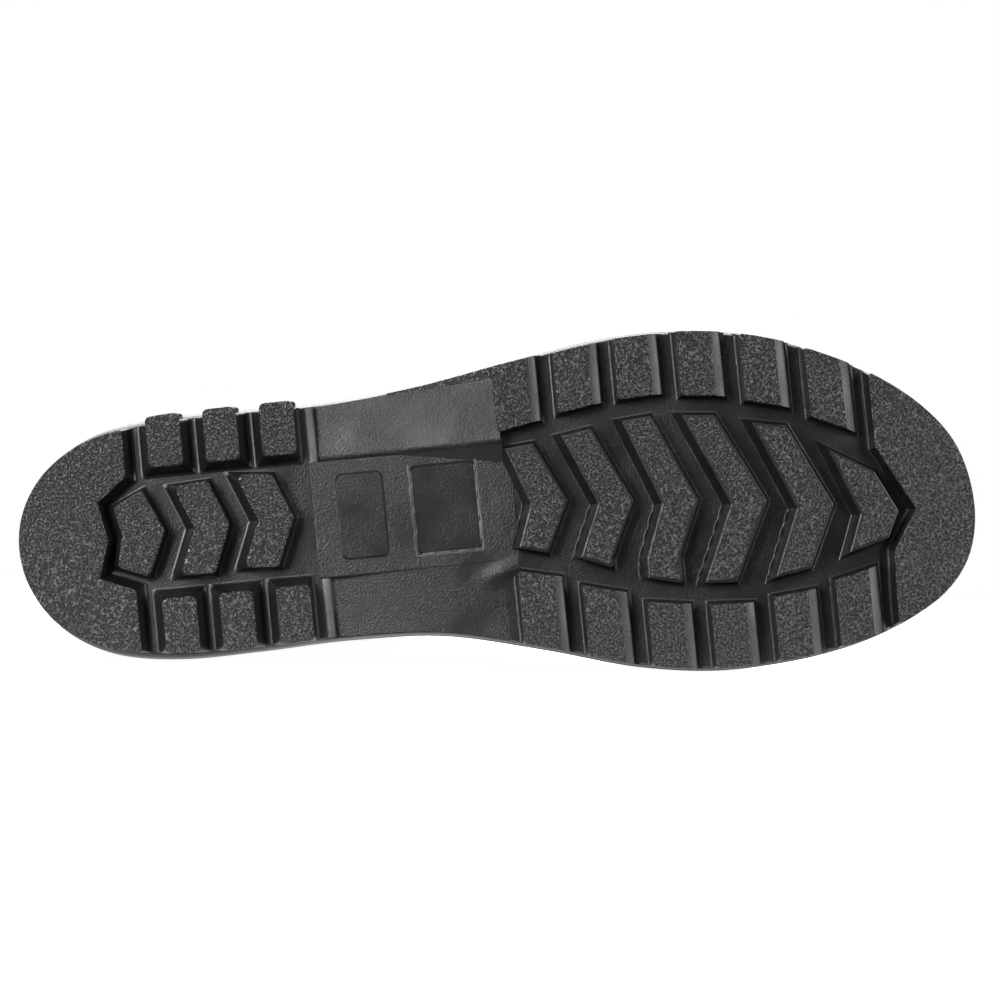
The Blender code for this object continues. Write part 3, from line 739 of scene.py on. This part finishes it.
def lip_mesh():
    """Rough strip between the lateral ramp and the sole's edge. It sinks below the ramp at its heel end and
    stands above it at its toe end."""

    def lip_level(point):
        stands = LIP_STANDS["back"] + lip_share(point.x) * (LIP_STANDS["front"] - LIP_STANDS["back"])
        return lateral_level(point) - stands

    outer = edge_run(turn_at(LIP_BACK), turn_at(LATERAL_RAMP.front), -PLATE_MARGIN)
    inner = [point + Vector((0, LIP_OVERLAP + LIP_WIDTH * lip_share(point.x))) for point in outer]
    face = outer + inner[::-1]
    return block_mesh(face, [EDGE] * len(face), lip_level, LIP_FINISH.bevel, LIP_FINISH, GRAIN)


def wave(row, point):
    return math.sin(row.x * point.x + row.y * point.y)


def ridge_mesh(path, level, flash):
    """Thin ridge along a plan path, pointed in section. Its line and its height wander a little."""
    points = []
    for start, end in zip(path, path[1:]):
        steps = max(1, round((end - start).length / FLASH_STEP))
        points += [start + (end - start) * i / steps for i in range(steps)]
    points.append(path[-1])
    mesh = bmesh.new()
    rows = []
    for i, point in enumerate(points):
        along = (points[min(i + 1, len(points) - 1)] - points[max(i - 1, 0)]).normalized()
        out = Vector((along.y, -along.x))
        sway = flash.wander * wave(SWAY_WAVE, point) * wave(SLOW_WAVE, point)
        stand = flash.height * (HEIGHT_MEAN + HEIGHT_SWING * wave(HEIGHT_WAVE, point))
        section = ((-flash.width / 2, FLASH_ROOT), (0.0, -stand), (flash.width / 2, FLASH_ROOT))
        row = []
        for across, depth in section:
            place = point + out * (sway + across)
            row.append(mesh.verts.new((place.x, place.y, level + depth + spring(place.x))))
        rows.append(row)
    for a, b in zip(rows, rows[1:]):
        for i in range(3):
            after = (i + 1) % 3
            mesh.faces.new((a[i], a[after], b[after], b[i]))
    mesh.faces.new(rows[0][::-1])
    mesh.faces.new(rows[-1])
    bmesh.ops.recalc_face_normals(mesh, faces=mesh.faces[:])
    # The ridges take the flash colour, painted light grey as a painted highlight
    for face in mesh.faces:
        face.material_index = FLASH
    return mesh


def flash_ridges():
    """Moulding flash: a wavy line at the foot of each chevron but the last, fainter on its lateral arm, and
    a rough border round the second frame, open on the lateral side."""
    reach = wall_offset(SLOPED, FOREFOOT_FLOOR, FOREFOOT_FLOOR, 0.0)
    for row in CHEVRONS[:-1]:
        foot = Vector((-reach * math.hypot(1.0, row.back_slope), 0))
        stops = [row.apex_y] + [row.bend] * (row.bend < row.med_back) + [row.med_back]
        yield ridge_mesh([chevron_back(row, y) + foot for y in stops], FOREFOOT_FLOOR, CHEVRON_FLASH)
        arm = [chevron_back(row, y) + foot for y in (row.apex_y, row.lat_back * FAINT_ARM)]
        yield ridge_mesh(arm, FOREFOOT_FLOOR, FAINT_FLASH)
    loop = grow(rectangle(BORDERED_FRAME), [BORDER_GAP] * 4)
    border = loop[1:] + loop[:1]
    for start, end in zip(border, border[1:]):
        yield ridge_mesh([start, end], PANEL_LEVEL, BORDER_FLASH)


def rectangle(row):
    return [
        Vector((row.back, row.lateral)), Vector((row.front, row.lateral)),
        Vector((row.front, row.medial)), Vector((row.back, row.medial)),
    ]


def add_panel(materials):
    """Waist panel with its two bare frames sunk into it."""
    mesh = block_mesh(
        rectangle(PANEL), [PANEL_WALL] * 4, PANEL_LEVEL, PLATE_FLOOR - PANEL_LEVEL, FLOOR_FINISH, WAIST,
    )
    panel = new_piece("waist_panel", mesh, materials)
    trays = [new_piece("tray", frame_cutter(row), materials) for row in (BLANK_FRAME, BORDERED_FRAME)]
    boolean(panel, "DIFFERENCE", trays)
    return panel


def frame_cutter(row):
    """Shallow tray with rounded corners, cut into the waist panel."""
    levels = {"top": PANEL_LEVEL - CUTTER_STAND, "panel": PANEL_LEVEL, "floor": PANEL_LEVEL + row.depth}
    loop = round_corners(rectangle(row), range(4), row.radius)
    mesh = bmesh.new()
    rows = []
    for place, z in levels.items():
        ring = grow(loop, [CUTTER_REACH[place]] * len(loop))
        rows.append([mesh.verts.new((point.x, point.y, z)) for point in ring])
    mesh.faces.new(rows[0][::-1])
    mesh.faces.new(rows[-1])
    for lower, upper in zip(rows, rows[1:]):
        for i in range(len(loop)):
            after = (i + 1) % len(loop)
            mesh.faces.new((lower[i], lower[after], upper[after], upper[i]))
    return mesh


def soften(rows, rounds):
    """Cut the corners of a profile of steps, keeping both ends."""
    for _ in range(rounds):
        cut = [rows[0]]
        for a, b in zip(rows, rows[1:]):
            for share in (CORNER_CUT, 1 - CORNER_CUT):
                cut.append(Step(*[p + (q - p) * share for p, q in zip(a, b)]))
        rows = cut + [rows[-1]]
    return rows


def loft(rings, cap):
    """Skin a list of equal closed rings, with strips across both ends when capped."""
    mesh = bmesh.new()
    rows = [[mesh.verts.new(point) for point in ring] for ring in rings]
    count = len(rows[0])
    for lower, upper in zip(rows, rows[1:]):
        for i in range(count):
            after = (i + 1) % count
            mesh.faces.new((lower[i], lower[after], upper[after], upper[i]))
    if cap:
        half = count // 2
        for row, flip in ((rows[0], True), (rows[-1], False)):
            for i in range(half):
                strip = [row[i], row[i + 1], row[count - i - 1], row[(count - i) % count]]
                strip = list(dict.fromkeys(strip))
                mesh.faces.new(strip[::-1] if flip else strip)
    return mesh


def plate_mesh():
    """Sole plate with the softened steps of its side wall."""
    turns = [math.pi * i / PLATE_STATIONS for i in range(2 * PLATE_STATIONS)]
    base = [edge_point(turn, 0.0) for turn in turns]
    outer = [edge_point(turn, 1.0) for turn in turns]
    rings = []
    for step in soften(SIDE_STEPS, SIDE_ROUNDS):
        ring = []
        for edge, out in zip(base, outer):
            flare = HEEL_FLARE * math.exp(-((edge.x - FLARE_X) / FLARE_SPREAD) ** 2)
            point = edge + (out - edge) * (step.out + step.flare * flare)
            floor = PLATE_FLOOR + spring(point.x)
            ring.append((point.x, point.y, floor + step.share * (sole_top(point.x) - floor)))
        rings.append(ring)
    return loft(rings, cap=True)


def triangulate(obj):
    mesh = bmesh.new()
    mesh.from_mesh(obj.data)
    bmesh.ops.triangulate(mesh, faces=mesh.faces[:])
    mesh.to_mesh(obj.data)
    mesh.free()


def boolean(obj, operation, cutters):
    """Apply one Boolean with a list of closed objects, which are then removed."""
    group = bpy.data.collections.new("operands")
    triangulate(obj)
    for cutter in cutters:
        triangulate(cutter)
        group.objects.link(cutter)
    modifier = obj.modifiers.new(operation.lower(), "BOOLEAN")
    modifier.operation = operation
    modifier.solver = "MANIFOLD"
    modifier.operand_type = "COLLECTION"
    modifier.collection = group
    finished = bpy.data.meshes.new_from_object(obj.evaluated_get(bpy.context.evaluated_depsgraph_get()))
    obj.modifiers.clear()
    obj.data = finished
    for cutter in cutters:
        bpy.data.objects.remove(cutter, do_unlink=True)
    bpy.data.collections.remove(group)


def shade(obj):
    obj.data.shade_smooth()
    obj.data.set_sharp_from_angle(angle=SHARP_EDGE)


def add_outsole(materials):
    """Plate, waist panel, ramps, tread blocks and flash joined into one closed piece."""
    outsole = new_piece("outsole_moulded", plate_mesh(), materials)
    shade(outsole)
    blocks = [add_panel(materials)]
    for maker in (heel_blocks, ramp_blocks, forefoot_blocks, flash_ridges):
        for number, mesh in enumerate(maker(), 1):
            blocks.append(new_piece(f"{maker.__name__}_{number}", mesh, materials))
    boolean(outsole, "UNION", blocks)
    return outsole


def upper_columns():
    """Turns of the upper's points round its rings, with a narrow parting line at the back and the front."""
    turns = [math.pi * i / SIDE_STATIONS for i in range(2 * SIDE_STATIONS)]
    for centre in (0.0, math.pi):
        turns += [(centre - PARTING_TURN) % (2 * math.pi), centre + PARTING_TURN]
    return sorted(turns)


def upper_rows():
    """Places of the rings between the rows of the table, closer together at the collar's bead."""
    last = len(UPPER_RINGS) - 1
    bead_run = BEAD_HEIGHT / (UPPER_RINGS[-1].front_z - UPPER_RINGS[-2].front_z)
    rows = [last * i / UPPER_ROWS for i in range(UPPER_ROWS + 1)]
    spread = BEAD_GROOVE / BEAD_HEIGHT
    rows += [last - bead_run * (1 + spread * share) for share in GROOVE_SHARES]
    return sorted(rows)


def add_upper(materials):
    """Foot and shaft as one skin from the feather line to the collar, with a bead round the collar."""
    turns = upper_columns()
    base = [edge_point(turn, -FEATHER_INSET) for turn in turns]
    xs = np.linspace(0.0, SOLE_LENGTH, MIDDLE_STATIONS)
    middle = [(edge_y(x, "lateral") + edge_y(x, "medial")) / 2 for x in xs]
    low, high = base[0].x, max(point.x for point in base)
    offsets = [point.y - np.interp(point.x, xs, middle) for point in base]
    widest = max(abs(offset) for offset in offsets)
    shares = [min(1.0, max(0.0, (point.x - low) / (high - low))) for point in base]
    tops = [sole_top(point.x) for point in base]
    dips = [top - (sole_top(low) + (sole_top(high) - sole_top(low)) * s) for top, s in zip(tops, shares)]
    last = len(UPPER_RINGS) - 1
    collar_gap = UPPER_RINGS[-1].front_z - UPPER_RINGS[-2].front_z
    places = range(last + 1)
    rings = []
    for at in upper_rows():
        row = Ring(*[spline(at, places, column) for column in zip(*UPPER_RINGS)])
        below_collar = (last - at) * collar_gap
        bead = -BEAD_DEPTH * max(0.0, 1 - ((below_collar - BEAD_HEIGHT) / BEAD_GROOVE) ** 2)
        flat = []
        for turn, share, offset, dip in zip(turns, shares, offsets, dips):
            x = row.back_x + (row.front_x - row.back_x) * share
            side = -1 if turn <= math.pi else 1
            round_y = row.shift + side * row.half * 2 * math.sqrt(share * (1 - share))
            plan_y = np.interp(x, xs, middle) + offset * row.half / widest
            z = row.back_z + (row.front_z - row.back_z) * share + row.dip * dip
            flat.append(Vector((x, row.plan * plan_y + (1 - row.plan) * round_y, z)))
        ring = []
        for i, point in enumerate(flat):
            along = flat[(i + 1) % len(flat)] - flat[i - 1]
            out = Vector((along.y, -along.x, 0)).normalized()
            seam = PARTING_OUT if turns[i] in (0.0, math.pi) else 0.0
            ring.append(point + out * (bead + seam))
        rings.append(ring)
    upper = new_piece("upper_moulded", loft(rings, cap=False), materials)
    wall = upper.modifiers.new("wall", "SOLIDIFY")
    wall.thickness = WALL * MM
    wall.offset = -1
    wall.use_even_offset = True
    wall.material_offset = 1
    rim = upper.modifiers.new("rim", "BEVEL")
    rim.width = RIM_ROUND * MM
    rim.segments = RIM_STEPS
    rim.limit_method = "ANGLE"
    rim.angle_limit = RIM_ANGLE
    upper.data.shade_smooth()
    return upper


def add_insole(materials):
    """Loose insole with a rounded top edge."""
    inset = FEATHER_INSET + WALL + INSOLE_EASE
    turns = [math.pi * i / SIDE_STATIONS for i in range(2 * SIDE_STATIONS)]
    rings = []
    for step in INSOLE_EDGE:
        plan = [edge_point(turn, -inset - step.inward) for turn in turns]
        lift = CLEARANCE + INSOLE_THICKNESS * step.share
        rings.append([(point.x, point.y, sole_top(point.x) + lift) for point in plan])
    insole = new_piece("insole_pad", loft(rings, cap=True), materials)
    shade(insole)
    return insole


def new_material(name):
    material = bpy.data.materials.new(name)
    material.use_nodes = True
    return material, material.node_tree.nodes, material.node_tree.links


def set_inputs(node, values):
    for name, value in values.items():
        node.inputs[name].default_value = value


def add_node(nodes, kind, values):
    node = nodes.new(kind)
    set_inputs(node, values)
    return node


def add_ramp(nodes, low, high):
    """Colour ramp between two stops, each of them a position and a colour."""
    ramp = nodes.new("ShaderNodeValToRGB")
    for element, (position, colour) in zip(ramp.color_ramp.elements, (low, high)):
        element.position = position
        element.color = colour
    return ramp


def join(links, rows):
    """Connect nodes. Each row gives a node and its output, and the node and input that it leads to."""
    for source, output, target, entry in rows:
        links.new(source.outputs[output], target.inputs[entry])


def pvc_smooth(row):
    """PVC from a plain mould: satin, clouded by faint flow marks, and rougher in patches."""
    material, nodes, links = new_material(row.name)
    shader = nodes["Principled BSDF"]
    place = nodes.new("ShaderNodeTexCoord")
    cloud = add_node(nodes, "ShaderNodeTexNoise", {"Scale": 70, "Detail": 4})
    fine = add_node(nodes, "ShaderNodeTexNoise", {"Scale": 1700, "Detail": 3})
    tint = add_ramp(nodes, (0.3, row.dark), (0.7, row.light))
    smoothest, roughest = row.roughness
    gloss = add_node(nodes, "ShaderNodeMapRange", {"To Min": smoothest, "To Max": roughest})
    patches = add_node(nodes, "ShaderNodeMapRange", {"From Min": 0.2, "From Max": 0.6})
    rough = nodes.new("ShaderNodeMath")
    rough.operation = "MULTIPLY"
    bump = add_node(nodes, "ShaderNodeBump", {"Strength": 0.8, "Distance": row.relief})
    join(links, [
        (place, "Object", cloud, "Vector"),
        (place, "Object", fine, "Vector"),
        (cloud, "Fac", tint, "Fac"),
        (tint, "Color", shader, "Base Color"),
        (cloud, "Fac", gloss, "Value"),
        (gloss, "Result", shader, "Roughness"),
        (cloud, "Fac", patches, "Value"),
        (patches, "Result", rough, 0),
        (fine, "Fac", rough, 1),
        (rough, "Value", bump, "Height"),
        (bump, "Normal", shader, "Normal"),
    ])
    return material


def pvc_grain_painted_shade_and_sparkle():
    """Tread faces: spark-eroded grain of about a millimetre in the bump and roughness; its colour is
    painted, with painted shade in the pits and painted sparkle on the tops.
    """
    material, nodes, links = new_material("pvc_grain_painted_shade_and_sparkle")
    shader = nodes["Principled BSDF"]
    place = nodes.new("ShaderNodeTexCoord")
    worms = add_node(
        nodes, "ShaderNodeTexNoise", {"Scale": 1500, "Detail": 1.5, "Roughness": 0.5, "Distortion": 0.2},
    )
    sharpen = add_node(nodes, "ShaderNodeMapRange", {"From Min": 0.37, "From Max": 0.63})
    # Painted shade in the pits, painted sparkle on the tops
    tint = add_ramp(nodes, (0.0, GRAIN_PIT_SHADE), (1.0, GRAIN_TOP_SPARKLE))
    gloss = add_node(nodes, "ShaderNodeMapRange", {"To Min": 0.7, "To Max": 0.35})
    bump = add_node(nodes, "ShaderNodeBump", {"Strength": 1.0, "Distance": 0.0011})
    join(links, [
        (place, "Object", worms, "Vector"),
        (worms, "Fac", sharpen, "Value"),
        (sharpen, "Result", tint, "Fac"),
        (tint, "Color", shader, "Base Color"),
        (sharpen, "Result", gloss, "Value"),
        (gloss, "Result", shader, "Roughness"),
        (sharpen, "Result", bump, "Height"),
        (bump, "Normal", shader, "Normal"),
    ])
    return material


def fabric(row):
    """Knitted fabric: small raised loops, painted lighter in the middle and darker between them, as painted
    highlight and painted shade.
    """
    material, nodes, links = new_material(row.name)
    shader = nodes["Principled BSDF"]
    set_inputs(shader, {"Roughness": 0.9, "Sheen Weight": 0.3})
    place = nodes.new("ShaderNodeTexCoord")
    knit = add_node(nodes, "ShaderNodeTexVoronoi", {"Scale": 1 / row.pitch, "Randomness": 0.9})
    # Lighter loop tops and darker gaps: painted highlight and painted shade
    tint = add_ramp(nodes, (0.0, row.light), (1.0, row.dark))
    bump = add_node(nodes, "ShaderNodeBump", {"Strength": 0.7, "Distance": row.pitch * 0.4})
    bump.invert = True
    join(links, [
        (place, "Object", knit, "Vector"),
        (knit, "Distance", tint, "Fac"),
        (tint, "Color", shader, "Base Color"),
        (knit, "Distance", bump, "Height"),
        (bump, "Normal", shader, "Normal"),
    ])
    return material


def add_camera():
    """Camera just above the floor, square on to the tread, turned so that the sole rises as in the photo.
    Returns the middle of its view."""
    across = IMAGE_SIZE / 2 - HEEL_PIXEL[0]
    down = IMAGE_SIZE / 2 - HEEL_PIXEL[1]
    x = MM_PER_PIXEL * (across * math.cos(PHOTO_TILT) - down * math.sin(PHOTO_TILT))
    y = MM_PER_PIXEL * (across * math.sin(PHOTO_TILT) + down * math.cos(PHOTO_TILT))
    target = BOOT @ Vector((x, y, 0))
    place = target + Vector((0, -1, 0)) * CAMERA_DISTANCE
    place.z = CAMERA_HEIGHT
    back = (place - target).normalized()
    ahead = (BOOT.to_3x3() @ Vector((1, 0, 0))).normalized()
    ahead = (ahead - ahead.dot(back) * back).normalized()
    right = Matrix.Rotation(-PHOTO_TILT, 3, back) @ ahead
    data = bpy.data.cameras.new("photo_camera")
    data.sensor_width = 36
    data.lens = data.sensor_width * (place - target).length / (IMAGE_SIZE * MM_PER_PIXEL * MM)
    camera = bpy.data.objects.new("photo_camera", data)
    turn = Matrix((right, back.cross(right), back)).transposed()
    camera.matrix_world = Matrix.Translation(place) @ turn.to_4x4()
    bpy.context.scene.collection.objects.link(camera)
    bpy.context.scene.camera = camera
    return target


def add_lamp(row, target):
    data = bpy.data.lights.new(row.name, "AREA")
    data.shape = "RECTANGLE"
    data.size, data.size_y = row.size
    data.energy = row.power
    lamp = bpy.data.objects.new(row.name, data)
    lamp.location = target + Vector(row.place)
    lamp.rotation_euler = (-Vector(row.place)).to_track_quat("-Z", "Y").to_euler()
    bpy.context.scene.collection.objects.link(lamp)
    return lamp


def add_floor(name, near, far, material):
    """One part of the floor, between two distances along the view."""
    data = bpy.data.meshes.new(name)
    corners = [(-FLOOR_SIZE, near, 0), (FLOOR_SIZE, near, 0), (FLOOR_SIZE, far, 0), (-FLOOR_SIZE, far, 0)]
    data.from_pydata(corners, [], [(0, 1, 2, 3)])
    data.materials.append(material)
    floor = bpy.data.objects.new(name, data)
    floor.visible_diffuse = False
    bpy.context.scene.collection.objects.link(floor)
    return floor


def add_world():
    """Surroundings that look white and give only a little light."""
    world = bpy.context.scene.world or bpy.data.worlds.new("studio")
    bpy.context.scene.world = world
    world.use_nodes = True
    nodes, links = world.node_tree.nodes, world.node_tree.links
    seen = nodes["Background"]
    set_inputs(seen, {"Color": WHITE, "Strength": 1.0})
    around = add_node(nodes, "ShaderNodeBackground", {"Color": WHITE, "Strength": 0.04})
    path = nodes.new("ShaderNodeLightPath")
    mix = nodes.new("ShaderNodeMixShader")
    join(links, [
        (path, "Is Camera Ray", mix, "Fac"),
        (around, "Background", mix, 1),
        (seen, "Background", mix, 2),
        (mix, "Shader", nodes["World Output"], "Surface"),
    ])


def floor_pale():
    """Nearly white floor. Its own light keeps it even up to the horizon."""
    material, nodes, _ = new_material("floor_pale")
    set_inputs(nodes["Principled BSDF"], {
        "Base Color": FLOOR_GREY,
        "Roughness": 0.9,
        "Emission Color": WHITE,
        "Emission Strength": 0.95,
    })
    return material


def add_studio(target, outsole):
    """White surroundings, a pale floor and soft lamps. The near part of the floor doesn't show in the gloss
    of the PVC, so that the tread, which faces it, stays dark."""
    add_world()
    material = floor_pale()
    split = target.y - FLOOR_LEAD
    add_floor("floor_front", -FLOOR_SIZE, split, material).visible_glossy = False
    add_floor("floor_back", split, FLOOR_SIZE, material)
    tread = bpy.data.collections.new("tread")
    tread.objects.link(outsole)
    for row in LAMPS:
        lamp = add_lamp(row, target)
        if row.tread_only:
            lamp.light_linking.receiver_collection = tread
    bpy.context.scene.view_settings.view_transform = "Standard"


def main():
    # The flash colour is painted light, a painted highlight
    smooth, flash, bead_highlight, waist = [pvc_smooth(row) for row in (SMOOTH_PVC, FLASH_HIGHLIGHT_PVC, BEAD_HIGHLIGHT_PVC, WAIST_PVC)]
    outsole = add_outsole([smooth, pvc_grain_painted_shade_and_sparkle(), flash, bead_highlight, waist])
    upper = add_upper([pvc_smooth(SATIN_PVC), fabric(LINING)])
    insole = add_insole([fabric(INSOLE_FACE)])
    rows = (
        (outsole, "outsole", "outsole_pvc"),
        (upper, "upper", "upper_pvc"),
        (insole, "insole", "insole_foam"),
    )
    for piece, node, slot in rows:
        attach(piece, "root")
        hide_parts(node)
    add_studio(add_camera(), outsole)


main()
